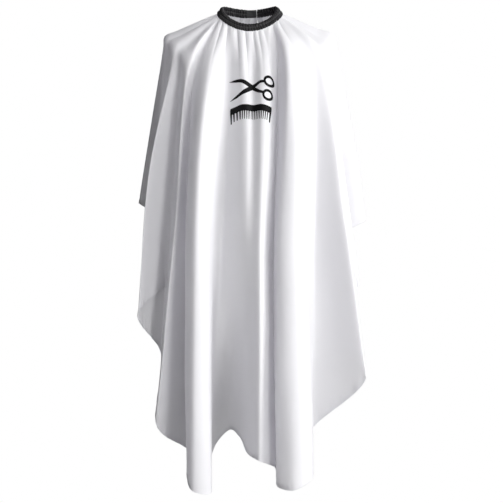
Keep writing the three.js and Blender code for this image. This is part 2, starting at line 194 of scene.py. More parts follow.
# ---------------------------------------------------------------------------
# How the cloth hangs: each fold line of the cloth leaves the neckband, goes
# over the shoulder or chest, and falls to the hem as far as its length lets it.
# ---------------------------------------------------------------------------
# angle round the neck hole, where it goes over the body, where it passes, where it hangs to
FOLDS = [
    (-194, (19, 110, -60), None, (4, 166, -330)),
    (-180, (-5, 102, -60), None, (-18, 92, -330)),
    (-166, (-30, 118, -60), None, (-50, 206, -345)),
    (-152, (-62, 100, -60), None, (-74, 86, -380)),
    (-138, (-105, 108, -60), None, (-138, 206, -470)),
    (-124, (-150, 76, -54), None, (-156, 64, -550)),
    (-112, (-178, 58, -52), None, (-236, 176, -560)),
    (-101, (-197, 28, -46), None, (-190, 62, -510)),
    (-90, (-206, 4, -43), None, (-279, 160, -441)),
    (-80, (-204, -20, -48), None, (-196, 56, -520)),
    (-71, (-200, -42, -56), None, (-252, -34, -570)),
    (-62, (-190, -60, -64), None, (-180, -30, -640)),
    (-53, (-176, -82, -74), (-238, -118, -360), (-265, -142, -700)),
    (-46.5, (-162, -92, -84), None, (-214, -66, -795)),
    (-39, (-138, -112, -98), None, (-222, -170, -968)),
    (-36, (-124, -106, -110), (-146, -106, -340), (-150, -64, -1040)),
    (-33, (-110, -130, -116), (-141, -162, -330), (-151, -206, -1090)),
    (-28.5, (-93, -144, -121), (-119, -186, -330), (-134, -246, -1110)),
    (-24, (-76, -138, -125), (-96, -172, -330), (-96, -232, -1100)),
    (-19.5, (-60, -118, -127), (-86, -134, -600), (-91, -150, -1080)),
    (-15.5, (-46, -116, -128), (-71, -112, -600), (-96, -46, -1050)),
    (-11.5, (-34, -122, -128), (-54, -122, -600), (-78, 18, -1040)),
    (-7.5, (-20, -130, -127), (-32, -144, -600), (-50, 24, -1020)),
    (-3.5, (-8, -130, -126), (-12, -162, -600), (-24, -30, -1030)),
    (1, (6, -128, -125), (6, -176, -600), (-6, -140, -1050)),
    (6, (26, -136, -123), (24, -190, -600), (20, -214, -1050)),
    (10.5, (46, -130, -120), (40, -176, -600), (44, -192, -1050)),
    (15, (65, -106, -118), (56, -124, -600), (62, -110, -1040)),
    (19, (75, -124, -115), (61, -146, -560), (62, -150, -1090)),
    (23, (85, -147, -112), (68, -190, -560), (68, -238, -1130)),
    (27.5, (102, -146, -107), (98, -198, -560), (102, -260, -1130)),
    (32, (116, -130, -101), (129, -184, -560), (144, -236, -1110)),
    (35, (128, -114, -98), (145, -120, -600), (148, -110, -1060)),
    (37.5, (136, -106, -94), (155, -96, -600), (147, -50, -1010)),
    (43.5, (160, -96, -82), (226, -132, -480), (278, -126, -845)),
    (50, (176, -80, -72), None, (204, -26, -740)),
    (59, (188, -56, -62), None, (268, -14, -650)),
    (70, (196, -32, -52), None, (188, 40, -570)),
    (84, (203, -6, -42), (258, 14, -320), (286, 48, -500)),
    (96, (203, 18, -42), None, (266, 116, -500)),
    (107, (190, 44, -48), None, (184, 74, -520)),
    (119, (168, 68, -52), None, (238, 176, -560)),
    (132, (118, 92, -58), None, (122, 82, -520)),
    (145, (78, 114, -60), None, (104, 206, -410)),
    (156, (52, 102, -60), None, (54, 92, -360)),
    (166, (32, 110, -60), None, (46, 168, -335)),
]
MM = 0.001

# the neck edge is gathered unevenly: cloth angle, and where that cloth lies round the band
GATHERED_TO = [
    (-194, -194), (-112, -112), (-90, -95), (-53, -79), (-36, -68), (-24, -50), (-7.5, -20), (1, 0),
    (6, 12), (10.5, 24), (15, 41), (27.5, 60), (43.5, 74), (84, 91), (107, 107), (166, 166),
]

def band_angle(cloth_angle):
    """Where a direction of the flat cloth is sewn to the band."""
    return np.interp(cloth_angle, *zip(*GATHERED_TO))

def line_length(cloth_angle):
    """The cloth's length from its seam on the band to the cut edge, along one fold line."""
    turn = np.radians(cloth_angle)
    start = np.radians(band_angle(cloth_angle))
    far = cut_reach(cloth_angle)
    return math.hypot(
        far * math.sin(turn) - NECK_CUT * math.sin(start),
        far * math.cos(turn) - NECK_CUT * math.cos(start),
    )

def smooth_line(points, at):
    """Points on a smooth line through the given points; at counts them from 0."""
    p = np.concatenate([[2 * points[0] - points[1]], points, [2 * points[-1] - points[-2]]])
    knot = np.sqrt(np.linalg.norm(np.diff(p, axis=0), axis=1))
    i = np.clip(np.floor(at).astype(int), 0, len(points) - 2)
    w = (at - i)[:, None]
    a, b, c, d = p[i], p[i + 1], p[i + 2], p[i + 3]
    k0, k1, k2 = knot[i][:, None], knot[i + 1][:, None], knot[i + 2][:, None]
    t1 = ((b - a) / k0 - (c - a) / (k0 + k1) + (c - b) / k1) * k1
    t2 = ((c - b) / k1 - (d - b) / (k1 + k2) + (d - c) / k2) * k1
    return (
        b + t1 * w + (3 * (c - b) - 2 * t1 - t2) * w ** 2 + (2 * (b - c) + t1 + t2) * w ** 3
    )

# the cloth's gathered edge is sewn this far inside the casing
TUCKED_IN = 0.0025
# past this angle the cloth goes straight to the shoulder, and bends sharply there
SHOULDER_ANGLE = 45

def along_fold(fold, shares):
    """Points on a fold line at shares of its own length, from the neckband to the hem."""
    angle, over, past, hem = fold
    start = beside_band(band_angle(angle), 0.0, BAND_WIDTH / 2 - TUCKED_IN)
    over = np.array(over) * MM
    hem = np.array(hem) * MM
    if past is None:
        past = over + (hem - over) * 0.45
    else:
        past = np.array(past) * MM
    beyond = hem + (hem - past) * 0.5
    points = [start, over, past, hem, beyond]
    if abs(angle) > SHOULDER_ANGLE:
        points[1:2] = [start + (over - start) * 0.75, over, over + (past - over) * 0.15]
    line = smooth_line(np.array(points), np.linspace(0, len(points) - 1, 801))
    run = np.concatenate([[0], np.cumsum(np.linalg.norm(np.diff(line, axis=0), axis=1))])
    wanted = shares * line_length(angle)
    return np.stack([np.interp(wanted, run, line[:, k]) for k in range(3)], -1)

# columns of the grid: close together where the hem runs on the bias and puckers, wider elsewhere
tried = np.linspace(FOLDS[0][0], FOLDS[-1][0], 6001)
tried_reach = np.array([cut_reach(a) for a in tried])
tried_edge = np.stack([tried_reach * np.sin(np.radians(tried)), tried_reach * np.cos(np.radians(tried))], -1)
edge_step = np.linalg.norm(np.diff(tried_edge, axis=0), axis=1)
on_bias = (np.abs(tried) > 33) & (np.abs(tried) < 64)
column_gap = np.where(on_bias[1:], 0.0035, 0.008)
edge_run = np.concatenate([[0], np.cumsum(edge_step)])
column_run = np.concatenate([[0], np.cumsum(edge_step / column_gap)])
columns = int(column_run[-1])
column_angle = np.interp(np.linspace(0, column_run[-1], columns + 1), column_run, tried)
column_edge = np.interp(column_angle, tried, edge_run)
fold_angle = [fold[0] for fold in FOLDS]
column_at = np.interp(column_angle, fold_angle, range(len(FOLDS)))

# rows of the grid: close together at the gathers and at the hem
share = np.concatenate([
    np.linspace(0, 0.10, 27),
    np.linspace(0.10, 0.955, 58)[1:],
    np.linspace(0.955, 1, 14)[1:],
])
fold_points = np.array([along_fold(fold, share) for fold in FOLDS])
drape = np.stack([smooth_line(fold_points[:, j], column_at) for j in range(len(share))], 1)

def grid_normals(points):
    """The outward normal at every point of a grid that runs round the cape and down it."""
    side = np.gradient(points, axis=0)
    drop = np.gradient(points, axis=1)
    normal = np.cross(drop, side)
    return normal / np.maximum(np.linalg.norm(normal, axis=-1, keepdims=True), 1e-12)

column_length = np.array([line_length(a) for a in column_angle])
from_seam = column_length[:, None] * share[None, :]
from_edge = column_length[:, None] * (1 - share[None, :])
seam_angle = band_angle(column_angle)

# pleats let into the band: the valleys between them, as angles round the band
valleys = [-43, -23, -8.4, 6, 15, 25, 44.5, 62, 80]
dice = random.Random(7)
while valleys[0] > -194:
    valleys.insert(0, valleys[0] - dice.uniform(11, 20))
while valleys[-1] < 166:
    valleys.append(valleys[-1] + dice.uniform(11, 20))
valleys = np.array(valleys)
pleat = np.clip(np.searchsorted(valleys, seam_angle, side="right") - 1, 0, len(valleys) - 2)
pleat_width = np.diff(valleys)[pleat]
across_pleat = (seam_angle - valleys[pleat]) / pleat_width
PLEAT_HEIGHT = 0.0068
GATHER_RISE = 0.012
pleat_height = PLEAT_HEIGHT * np.minimum(pleat_width / 16, 1.25)
fade_at_valley = np.array([dice.uniform(0.06, 0.13) for _ in valleys])
fade = fade_at_valley[pleat] * (1 - across_pleat) + fade_at_valley[pleat + 1] * across_pleat
crown = np.sin(np.pi * across_pleat) ** 0.75 - 0.62
below_band = np.exp(-from_seam / GATHER_RISE)
gathers = (crown * pleat_height)[:, None] * (1 - below_band) * np.exp(-(from_seam / fade[:, None]) ** 1.3)

# small gathers right under the band
small = np.zeros(columns + 1)
for pitch, part in ((4.1, 0.5), (5.7, 0.6), (7.9, 0.5)):
    small += part * np.sin(2 * np.pi * seam_angle / pitch + dice.uniform(0, 6.3))
SMALL_GATHER_HEIGHT = 0.0005
gathers += SMALL_GATHER_HEIGHT * small[:, None] * below_band

# the cloth never hangs quite smooth
uneven = np.zeros_like(from_seam)
for _ in range(14):
    round_wave = dice.uniform(9, 26)
    down_wave = dice.uniform(0.5, 3.2)
    turn = dice.uniform(0, 6.3)
    uneven += np.sin(column_edge[:, None] * round_wave + from_seam * down_wave * dice.choice((-1, 1)) * 6 + turn)
UNEVENNESS = 0.00032
uneven *= UNEVENNESS * np.clip(from_seam / 0.1, 0, 1)

# the hem puckers where it runs on the bias
bias = np.interp(np.abs(column_angle), [30, 38, 58, 68, 118, 128, 150, 160], [0.12, 1, 1, 0.3, 0.3, 0.6, 0.6, 0.12])
PUCKER_PITCH = 0.0135
PUCKER_SIZE = 0.0013
pucker_phase = 0.0
pucker_turns = []
for step in np.diff(column_edge, prepend=column_edge[0]):
    pucker_pace = 1 + 0.45 * math.sin(pucker_phase * 1.7) + 0.3 * math.sin(pucker_phase * 0.61)
    pucker_phase += step / PUCKER_PITCH * pucker_pace
    pucker_turns.append(pucker_phase)
pucker_turns = np.array(pucker_turns)
pucker_size = PUCKER_SIZE * bias * (0.75 + 0.45 * np.sin(pucker_turns * 2.3 + 1))
puckers = (pucker_size * np.sin(2 * np.pi * pucker_turns))[:, None] * np.exp(-((from_edge - 0.008) / 0.017) ** 2)
seam_dip = -0.00035 * np.exp(-((from_edge - 0.0085) / 0.0018) ** 2)

normals = grid_normals(drape)
cloth = drape + normals * (gathers + uneven + puckers + seam_dip)[..., None]
normals = grid_normals(cloth)

# the same points on the flat cut
turn = np.radians(column_angle)
seam_turn = np.radians(seam_angle)
column_reach = np.array([cut_reach(a) for a in column_angle])
flat_seam = NECK_CUT * np.stack([np.sin(seam_turn), -np.cos(seam_turn)], -1)
flat_edge = column_reach[:, None] * np.stack([np.sin(turn), -np.cos(turn)], -1)
flat = flat_seam[:, None] + (flat_edge - flat_seam)[:, None] * share[None, :, None]

def grid_mesh(name, points, uv, material, closed=False):
    """A smooth mesh from a grid of points, with its flat position in metres as its UV map."""
    n, m = points.shape[:2]
    mesh = bpy.data.meshes.new(name)
    index = np.arange(n * m).reshape(n, m)
    if closed:
        index = np.concatenate([index, index[:, :1]], 1)
        uv = np.concatenate([uv, uv[:, -1:] * 2 - uv[:, -2:-1]], 1)
    corners = (slice(None, -1), slice(None, -1)), (slice(1, None), slice(None, -1)), \
        (slice(1, None), slice(1, None)), (slice(None, -1), slice(1, None))
    quads = np.stack([index[c] for c in corners], -1).reshape(-1, 4)
    mesh.from_pydata(points.reshape(-1, 3).tolist(), [], quads.tolist())
    mesh.uv_layers.new(name="flat")
    corner_uv = np.stack([uv[c] for c in corners], 2).reshape(-1, 2)
    mesh.uv_layers["flat"].data.foreach_set("uv", corner_uv.ravel())
    mesh.polygons.foreach_set("use_smooth", [True] * len(mesh.polygons))
    mesh.materials.append(material)
    piece = bpy.data.objects.new(name, mesh)
    scene.collection.objects.link(piece)
    return piece

# ---------------------------------------------------------------------------
# Shared effects: a plain weave, and slow unevenness. Each piece sets its own
# thread count and depth.
# ---------------------------------------------------------------------------
def new_group(name, inputs, outputs):
    group = bpy.data.node_groups.new(name, "ShaderNodeTree")
    for label, kind, value in inputs:
        group.interface.new_socket(label, in_out="INPUT", socket_type=kind).default_value = value
    for label, kind in outputs:
        group.interface.new_socket(label, in_out="OUTPUT", socket_type=kind)
    return group, group.nodes.new("NodeGroupInput"), group.nodes.new("NodeGroupOutput")

def math_node(tree, operation, a, b=None):
    node = tree.nodes.new("ShaderNodeMath")
    node.operation = operation
    for socket, value in zip(node.inputs, (a, b)):
        if isinstance(value, (int, float)):
            socket.default_value = value
        elif value is not None:
            tree.links.new(value, socket)
    return node.outputs[0]

weave, weave_in, weave_out = new_group(
    "plain_weave",
    [
        ("Threads", "NodeSocketFloat", 3000.0),
        ("Depth", "NodeSocketFloat", 0.3),
        ("Unevenness", "NodeSocketFloat", 12.0),
    ],
    [("Normal", "NodeSocketVector"), ("Shade", "NodeSocketFloat")],
)
place = weave.nodes.new("ShaderNodeTexCoord")
split = weave.nodes.new("ShaderNodeSeparateXYZ")
weave.links.new(place.outputs["UV"], split.inputs[0])
turns = math_node(weave, "MULTIPLY", weave_in.outputs["Threads"], math.pi)
warp = math_node(weave, "SINE", math_node(weave, "MULTIPLY", split.outputs[0], turns))
weft = math_node(weave, "SINE", math_node(weave, "MULTIPLY", split.outputs[1], turns))
thread_height = math_node(weave, "MULTIPLY", warp, weft)
slow = weave.nodes.new("ShaderNodeTexNoise")
slow.inputs["Detail"].default_value = 4
weave.links.new(place.outputs["UV"], slow.inputs["Vector"])
weave.links.new(weave_in.outputs["Unevenness"], slow.inputs["Scale"])
slub = weave.nodes.new("ShaderNodeTexNoise")
slub.inputs["Scale"].default_value = 900
weave.links.new(place.outputs["UV"], slub.inputs["Vector"])
height = math_node(weave, "ADD", thread_height, math_node(weave, "MULTIPLY", slub.outputs["Fac"], 0.8))
bump = weave.nodes.new("ShaderNodeBump")
bump.inputs["Distance"].default_value = 0.00012
weave.links.new(weave_in.outputs["Depth"], bump.inputs["Strength"])
weave.links.new(height, bump.inputs["Height"])
weave.links.new(bump.outputs["Normal"], weave_out.inputs["Normal"])
weave.links.new(slow.outputs["Fac"], weave_out.inputs["Shade"])

def woven(material, shader, threads, depth, unevenness, dark, light):
    """Gives a cloth its weave, and lets its colour wander between two near shades."""
    tree = material.node_tree
    threads_node = tree.nodes.new("ShaderNodeGroup")
    threads_node.node_tree = weave
    threads_node.inputs["Threads"].default_value = threads
    threads_node.inputs["Depth"].default_value = depth
    threads_node.inputs["Unevenness"].default_value = unevenness
    shades = tree.nodes.new("ShaderNodeMix")
    shades.data_type = "RGBA"
    shades.inputs["A"].default_value = (*dark, 1)
    shades.inputs["B"].default_value = (*light, 1)
    tree.links.new(threads_node.outputs["Shade"], shades.inputs["Factor"])
    tree.links.new(shades.outputs["Result"], shader.inputs["Base Color"])
    tree.links.new(threads_node.outputs["Normal"], shader.inputs["Normal"])

# ---------------------------------------------------------------------------
# Cape panel: one cut of light white polyester satin, gathered into the
# neckband and hanging free. Hemmed all round and down both sides of the slit.
# ---------------------------------------------------------------------------
cloth_material, cloth_shader = new_material("white_satin_polyester", (0.9, 0.9, 0.905), 0.46)
cloth_shader.inputs["Sheen Weight"].default_value = 0.12
cloth_shader.inputs["Sheen Roughness"].default_value = 0.4
cloth_shader.inputs["Sheen Tint"].default_value = (0.93, 0.92, 1.0, 1)
woven(cloth_material, cloth_shader, 2800, 0.10, 6, (0.875, 0.872, 0.892), (0.915, 0.913, 0.925))
cloth_tree = cloth_material.node_tree
LIGHT_THROUGH = 0.34
glow_through = cloth_tree.nodes.new("ShaderNodeBsdfTranslucent")
glow_through.inputs["Color"].default_value = (0.86, 0.85, 0.89, 1)
thin = cloth_tree.nodes.new("ShaderNodeMixShader")
thin.inputs["Fac"].default_value = LIGHT_THROUGH
cloth_out = cloth_tree.nodes["Material Output"]
cloth_tree.links.new(cloth_shader.outputs["BSDF"], thin.inputs[1])
cloth_tree.links.new(glow_through.outputs["BSDF"], thin.inputs[2])
cloth_tree.links.new(thin.outputs["Shader"], cloth_out.inputs["Surface"])

panel = grid_mesh("cape_cloth", cloth, flat, cloth_material)
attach(panel, "cape")
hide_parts("cape_panel")

# ---------------------------------------------------------------------------
# Hem: the edge turned in twice and stitched down 8.5 mm in, along the whole cut
# edge and both sides of the slit. The same cloth, with white polyester thread.
# ---------------------------------------------------------------------------
HEM_WIDTH = 0.010
STITCH_IN = 0.0085
STITCH_PITCH = 0.0031
STITCH_LENGTH = 0.0022
STITCH_RADIUS = 0.00017

def in_from_edge(lines, distance):
    """The point at a distance in from the last point of each line of points."""
    run = np.concatenate([
        np.zeros((len(lines), 1)),
        np.cumsum(np.linalg.norm(np.diff(lines[:, ::-1], axis=1), axis=2), axis=1),
    ], 1)
    back = lines[:, ::-1]
    return np.array([[np.interp(distance, r, b[:, k]) for k in range(3)] for r, b in zip(run, back)])

def hem_strip(lines, line_normals):
    """The turned-in cloth, as a flat loop round the edge, for lines that end at the edge."""
    near = lines[:, -14:]
    out = line_normals[:, -1]
    inward = in_from_edge(near, 0.003) - near[:, -1]
    inward /= np.linalg.norm(inward, axis=1, keepdims=True)
    ring = []
    for distance in (HEM_WIDTH, HEM_WIDTH * 0.6, HEM_WIDTH * 0.25, 0.0006):
        ring.append(in_from_edge(near, distance) - out * 0.0004)
    for ahead, rise in ((0.0005, -0.0003), (0.0008, 0.0), (0.0005, 0.0003)):
        ring.append(near[:, -1] - inward * ahead + out * rise)
    ring.append(in_from_edge(near, 0.0006) + out * 0.00025)
    ring.append(near[:, -1] - inward * 0.0001 - out * 0.0001)
    for distance in (0.0006, HEM_WIDTH * 0.25, HEM_WIDTH * 0.6, HEM_WIDTH):
        ring.append(in_from_edge(near, distance) - out * 0.0009)
    return np.stack(ring, 1)

def along(points):
    return np.concatenate([[0], np.cumsum(np.linalg.norm(np.diff(points, axis=0), axis=1))])

slit_rows = slice(2, None)
hem_sides = {
    "bottom": (cloth, normals),
    "slit_left": (
        cloth[:40, slit_rows].transpose(1, 0, 2)[:, ::-1], normals[:40, slit_rows].transpose(1, 0, 2)[:, ::-1],
    ),
    "slit_right": (cloth[-40:, slit_rows].transpose(1, 0, 2), normals[-40:, slit_rows].transpose(1, 0, 2)),
}
hem_pieces = []
stitch_points = []
stitch_faces = []
for side_name, (lines, line_normals) in hem_sides.items():
    strip = hem_strip(lines, line_normals)
    strip_uv = np.stack([
        np.repeat(along(strip[:, 0])[:, None], strip.shape[1], 1),
        np.repeat(np.linspace(0, 0.022, strip.shape[1])[None, :], len(strip), 0),
    ], -1)
    hem = grid_mesh("hem_" + side_name, strip, strip_uv, cloth_material)
    hem_pieces.append(hem)
    seam = in_from_edge(lines[:, -16:], STITCH_IN)
    out = line_normals[:, -4]
    run = along(seam)
    for start in np.arange(0.003, run[-1] - 0.004, STITCH_PITCH):
        ends = []
        for at in (start, start + STITCH_LENGTH):
            ends.append(np.array([np.interp(at, run, seam[:, k]) for k in range(3)]))
        up = np.array([np.interp(start, run, out[:, k]) for k in range(3)])
        up /= np.linalg.norm(up)
        ahead = ends[1] - ends[0]
        aside = np.cross(up, ahead)
        aside /= np.linalg.norm(aside)
        first = len(stitch_points)
        for mid, rise in ((ends[0], 0.00012), ((ends[0] + ends[1]) / 2, 0.00042), (ends[1], 0.00012)):
            for turn_by in (0, 2.094, 4.189):
                around = aside * math.cos(turn_by) + up * math.sin(turn_by)
                stitch_points.append(mid + up * (rise + 0.0001) + around * STITCH_RADIUS)
        for ring_start in (first, first + 3):
            for k in range(3):
                stitch_faces.append((
                    ring_start + k, ring_start + (k + 1) % 3, ring_start + 3 + (k + 1) % 3, ring_start + 3 + k,
                ))
thread_material, _ = new_material("white_polyester_thread", (0.86, 0.86, 0.87), 0.4)
stitch_mesh = bpy.data.meshes.new("hem_stitching")
stitch_mesh.from_pydata([tuple(v) for v in stitch_points], [], stitch_faces)
stitch_mesh.polygons.foreach_set("use_smooth", [True] * len(stitch_mesh.polygons))
stitch_mesh.materials.append(thread_material)
stitching = bpy.data.objects.new("hem_stitching", stitch_mesh)
scene.collection.objects.link(stitching)
for piece in (*hem_pieces, stitching):
    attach(piece, "cape")

# ---------------------------------------------------------------------------
# Neckband casing: a tube of thin black cloth, 22 mm wide, ruched on its elastic.
# A seam along its middle parts the ruching into two puffed rows.
# ---------------------------------------------------------------------------
CASING_ANGLES = (-174, 165.2)
BAND_THICKNESS = 0.0055

casing_turns = 900
casing_sides = 56
casing_angle = np.linspace(*CASING_ANGLES, casing_turns + 1)
girth_angle = np.linspace(0, 2 * np.pi, casing_sides, endpoint=False)

def rounded(value, power):
    return np.sign(value) * np.abs(value) ** power

section_out = BAND_THICKNESS / 2 * rounded(np.cos(girth_angle), 0.72)
section_down = (BAND_WIDTH / 2 - 0.0006) * rounded(np.sin(girth_angle), 0.82)
band_line, band_face, band_down = band_frame(casing_angle)
band_run = along(band_line)

def ribs(seed, mean_pitch):
    """Heights from 0 to 1 of uneven rounded ribs along the band, with tight creases between."""
    roll = random.Random(seed)
    marks = [-0.004]
    while marks[-1] < band_run[-1] + 0.01:
        marks.append(marks[-1] + mean_pitch * roll.uniform(0.55, 1.5))
    marks = np.array(marks)
    sizes = np.array([roll.uniform(0.55, 1.0) for _ in marks])
    def rib_height(run):
        k = np.clip(np.searchsorted(marks, run, side="right") - 1, 0, len(marks) - 2)
        part = (run - marks[k]) / (marks[k + 1] - marks[k])
        return sizes[k] * np.sin(np.pi * np.clip(part, 0, 1)) ** 0.6
    return rib_height

upper_ribs = ribs(11, 0.0062)
lower_ribs = ribs(23, 0.0060)
inner_ribs = ribs(31, 0.0066)
across = section_down[None, :] / (BAND_WIDTH / 2)
slant = 0.0011 * np.sin(across * 2.2 + casing_angle[:, None] * 0.09)
run_at = band_run[:, None] + slant
outer_side = np.clip(np.cos(girth_angle) * 1.6 + 0.5, 0, 1)[None, :]
upper_share = 1 / (1 + np.exp(across * 14))
outer_rib = upper_share * upper_ribs(run_at) + (1 - upper_share) * lower_ribs(run_at)
rib = outer_side * outer_rib + (1 - outer_side) * inner_ribs(run_at)
row_puff = np.abs(np.sin(np.pi * np.clip(across, -1, 1))) ** 0.6
seam_groove = np.exp(-(across / 0.085) ** 2)
edge_frill = np.clip(np.abs(across) - 0.86, 0, 1) / 0.14
rib_swell = 0.0030 * (0.4 + 0.6 * row_puff) * (1 - 0.5 * seam_groove)
swell = 0.0010 * row_puff - 0.0019 * seam_groove + (rib - 0.6) * rib_swell
swell = swell - 0.0006
out_direction = np.stack([np.cos(girth_angle), np.sin(girth_angle) * 0.45], -1)
out_direction /= np.linalg.norm(out_direction, axis=1, keepdims=True)
casing_out = section_out[None, :] + swell * out_direction[None, :, 0]
casing_down = section_down[None, :] + swell * out_direction[None, :, 1] + 0.0005 * edge_frill * (rib - 0.5)
casing_points = (
    band_line[:, None] + band_face[:, None] * casing_out[..., None] + band_down[:, None] * casing_down[..., None]
)
casing_uv = np.stack([
    np.repeat(band_run[:, None], casing_sides, 1),
    np.repeat(np.linspace(0, 0.05, casing_sides)[None, :], casing_turns + 1, 0),
], -1)
casing_material, casing_shader = new_material("black_ruched_cloth", (0.008, 0.008, 0.009), 0.5)
casing_shader.inputs["Specular IOR Level"].default_value = 0.32
casing_shader.inputs["Sheen Weight"].default_value = 0.08
casing_shader.inputs["Sheen Roughness"].default_value = 0.35
casing_shader.inputs["Sheen Tint"].default_value = (0.75, 0.66, 0.78, 1)
woven(casing_material, casing_shader, 1600, 0.35, 90, (0.004, 0.0036, 0.0043), (0.008, 0.0072, 0.0086))
casing = grid_mesh("ruched_casing", casing_points, casing_uv, casing_material, closed=True)
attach(casing, "cape")
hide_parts("neckband_casing")

# the seam's thread lies in the groove between the rows, inside and outside
band_thread_material, _ = new_material("black_thread", (0.02, 0.019, 0.022), 0.45)

def stitch_row(name, run, line, out, length, gap, thick, material):
    """A row of lockstitches along a line, standing out from the cloth."""
    points = []
    faces = []
    for start in np.arange(gap, run[-1] - length, length + gap):
        a = np.array([np.interp(start, run, line[:, k]) for k in range(3)])
        b = np.array([np.interp(start + length, run, line[:, k]) for k in range(3)])
        up = np.array([np.interp(start, run, out[:, k]) for k in range(3)])
        up /= np.linalg.norm(up)
        aside = np.cross(up, b - a)
        aside /= np.linalg.norm(aside)
        first = len(points)
        for mid, rise in ((a, 0.0), ((a + b) / 2, thick * 1.1), (b, 0.0)):
            for turn_by in (0, 2.094, 4.189):
                points.append(mid + up * rise + (aside * math.cos(turn_by) + up * math.sin(turn_by)) * thick / 2)
        for ring_start in (first, first + 3):
            for k in range(3):
                after = ring_start + (k + 1) % 3
                faces.append((ring_start + k, after, after + 3, ring_start + 3 + k))
    mesh = bpy.data.meshes.new(name)
    mesh.from_pydata([tuple(v) for v in points], [], faces)
    mesh.polygons.foreach_set("use_smooth", [True] * len(mesh.polygons))
    mesh.materials.append(material)
    row = bpy.data.objects.new(name, mesh)
    scene.collection.objects.link(row)
    return row

for name, column, sign in (("casing_seam_outside", 0, 1), ("casing_seam_inside", casing_sides // 2, -1)):
    seam_row = stitch_row(
        name, band_run, casing_points[:, column], sign * band_face, 0.0024, 0.0009, 0.00035, band_thread_material,
    )
    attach(seam_row, "cape")

# ---------------------------------------------------------------------------
# Elastic: a flat braided band, 18 mm wide, that runs inside the casing and
# shows only at its two ends.
# ---------------------------------------------------------------------------
elastic_material, elastic_shader = new_material("braided_elastic", (0.05, 0.05, 0.052), 0.8)
woven(elastic_material, elastic_shader, 900, 0.5, 60, (0.04, 0.04, 0.042), (0.07, 0.07, 0.073))
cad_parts["neckband_elastic"].data.materials.clear()
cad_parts["neckband_elastic"].data.materials.append(elastic_material)

# ---------------------------------------------------------------------------
# End tape: a folded black tape, 19 mm wide. The casing's left end is sewn
# inside its fold, and it lies smooth, with no elastic in it.
# ---------------------------------------------------------------------------
def band_strip(name, angles, half_width, inner, outer, material, steps=60, waver=0.0):
    """A closed flat strip that follows the band. Its faces and half width are given at each angle."""
    angle = np.linspace(*angles, steps + 1)
    across = np.concatenate([np.linspace(-1, 1, 15), np.linspace(1, -1, 15)])
    outside = np.concatenate([np.ones(15), np.zeros(15)])
    edge = np.clip((1 - np.abs(across)) / 0.06, 0, 1) ** 0.5
    low_face, high_face = inner(angle)[:, None], outer(angle)[:, None]
    mid_face = (low_face + high_face) / 2
    out = mid_face + (np.where(outside[None, :] > 0, high_face, low_face) - mid_face) * (0.25 + 0.75 * edge[None, :])
    out += waver * np.sin(across[None, :] * 5 + angle[:, None] * 0.8) * np.sin(angle[:, None] * 0.37)
    down = across[None, :] * half_width(angle)[:, None]
    line, face, low = band_frame(angle)
    points = line[:, None] + face[:, None] * out[..., None] + low[:, None] * down[..., None]
    run = along(line)
    closing = line + face * mid_face
    first = points[:1] * 0.1 + closing[:1][:, None] * 0.9
    last = points[-1:] * 0.1 + closing[-1:][:, None] * 0.9
    # the first ring is there twice, which keeps that end's edge sharp
    points = np.concatenate([first, points[:1], points, last])
    run = np.concatenate([[run[0], run[0]], run, [run[-1]]])
    uv = np.stack([np.repeat(run[:, None], 30, 1), np.repeat(down[:1], len(run), 0)], -1)
    return grid_mesh(name, points, uv, material, closed=True)

def steady(value):
    return lambda angle: np.full_like(np.asarray(angle, float), value)

def strip_stitches(name, angles, down, out, material, body_calls, side=1):
    """A row of lockstitches that runs along a strip."""
    angle = np.linspace(*angles, 120)
    line, face, low = band_frame(angle)
    path = line + face * out(angle)[:, None] + low * down
    row = stitch_row(name, along(path), path, side * face, 0.0020, 0.0008, 0.0003, material)
    body_calls(row)
    return row

def on_cape(piece):
    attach(piece, "cape")

tape_material, tape_shader = new_material("black_grosgrain_tape", (0.014, 0.014, 0.016), 0.5)
woven(tape_material, tape_shader, 1100, 0.45, 50, (0.011, 0.011, 0.013), (0.022, 0.021, 0.024))
END_TAPE_ANGLES = (167.5, 188.0)
END_TAPE_FACE = 0.0012
TAPE_HALF_WIDTH = 0.0095
end_tape = band_strip(
    "folded_end_tape", END_TAPE_ANGLES, steady(TAPE_HALF_WIDTH), steady(-END_TAPE_FACE), steady(END_TAPE_FACE),
    tape_material, 50, 0.00012,
)
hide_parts("end_tape")
on_cape(end_tape)
for number, down in enumerate((-0.0078, 0.0078)):
    for side, face_out in ((1, END_TAPE_FACE), (-1, -END_TAPE_FACE)):
        strip_stitches(
            f"end_tape_stitches_{number}_{'out' if side > 0 else 'in'}", (168.3, 185.0), down, steady(face_out),
            band_thread_material, on_cape, side,
        )

# ---------------------------------------------------------------------------
# Stud tape: black tape sewn to the outside of the casing's right end, where it
# carries three studs, one for each neck size.
# ---------------------------------------------------------------------------
STUD_TAPE_ANGLES = (117, 163)
TAPE_FACE = 0.00415
TAPE_THICKNESS = 0.0012
stud_tape = band_strip(
    "stud_carrier_tape", STUD_TAPE_ANGLES, steady(TAPE_HALF_WIDTH), steady(TAPE_FACE),
    steady(TAPE_FACE + TAPE_THICKNESS), tape_material, 110, 0.0001,
)
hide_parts("stud_tape")
on_cape(stud_tape)
for number, down in enumerate((-0.0079, 0.0079)):
    strip_stitches(
        f"stud_tape_stitches_{number}", (118, 162), down, steady(TAPE_FACE + TAPE_THICKNESS),
        band_thread_material, on_cape,
    )

# ---------------------------------------------------------------------------
# Closure tab: a white tab of two layers of the cape's cloth. It is sewn to the
# end tape, crosses the gap behind the neck, and carries the snap's socket.
# ---------------------------------------------------------------------------
TAB_ANGLES = (146, 183)
TAB_THICKNESS = 0.0009
TAB_FACE = 0.00985
TAB_SEWN_FACE = 0.0015
TAB_HALF_WIDTH = 0.009
TAB_BEND_ANGLE = 176.5

